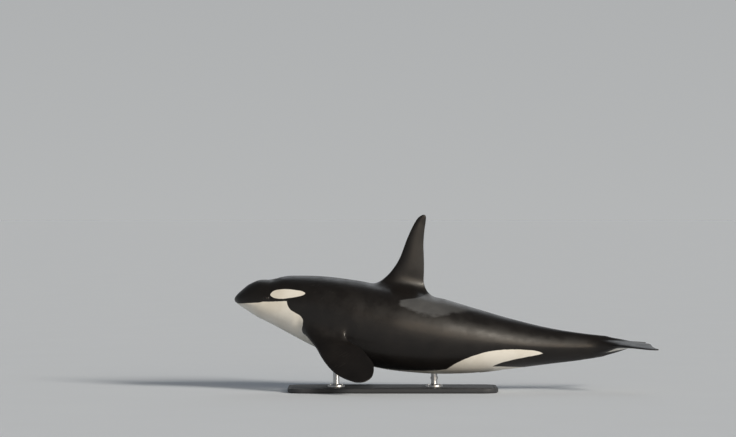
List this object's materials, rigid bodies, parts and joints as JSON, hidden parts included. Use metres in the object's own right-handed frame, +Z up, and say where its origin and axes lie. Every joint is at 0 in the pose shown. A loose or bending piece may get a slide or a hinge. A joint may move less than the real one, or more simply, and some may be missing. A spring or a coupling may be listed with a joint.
{
  "type": "orca",
  "caption": "Life-size bull orca, still, with its head raised, tall upright dorsal fin, paddle flippers and level flukes, held over a flat base by short upright rods.",
  "frame": {"origin": "middle of the flat underside of the stand's base, under the animal's centre of mass", "axes": "+X towards the tail, so the snout points along -X; +Y to the animal's right; +Z up"},
  "size_m": [6.6228, 2.669, 2.7933],
  "materials": {
    "dark_skin": "wet, smooth black skin with a grey saddle and white patches",
    "pale_skin": "wet, smooth white skin of the chin",
    "eye": "wet, glossy dark brown",
    "stand_plate": "satin dark grey paint",
    "stand_rod": "brushed"
  },
  "bodies": {
    "root": {"head": "dark_skin", "lower_jaw": "pale_skin", "eye_left": "eye", "eye_right": "eye", "chest": "dark_skin", "torso": "dark_skin", "tail_stock": "dark_skin", "dorsal_fin": "dark_skin", "flipper_left": "dark_skin", "flipper_right": "dark_skin", "fluke_left": "dark_skin", "fluke_right": "dark_skin", "stand_base": "stand_plate", "stand_rod_front": "stand_rod", "stand_rod_rear": "stand_rod"}
  },
  "joints": []
}
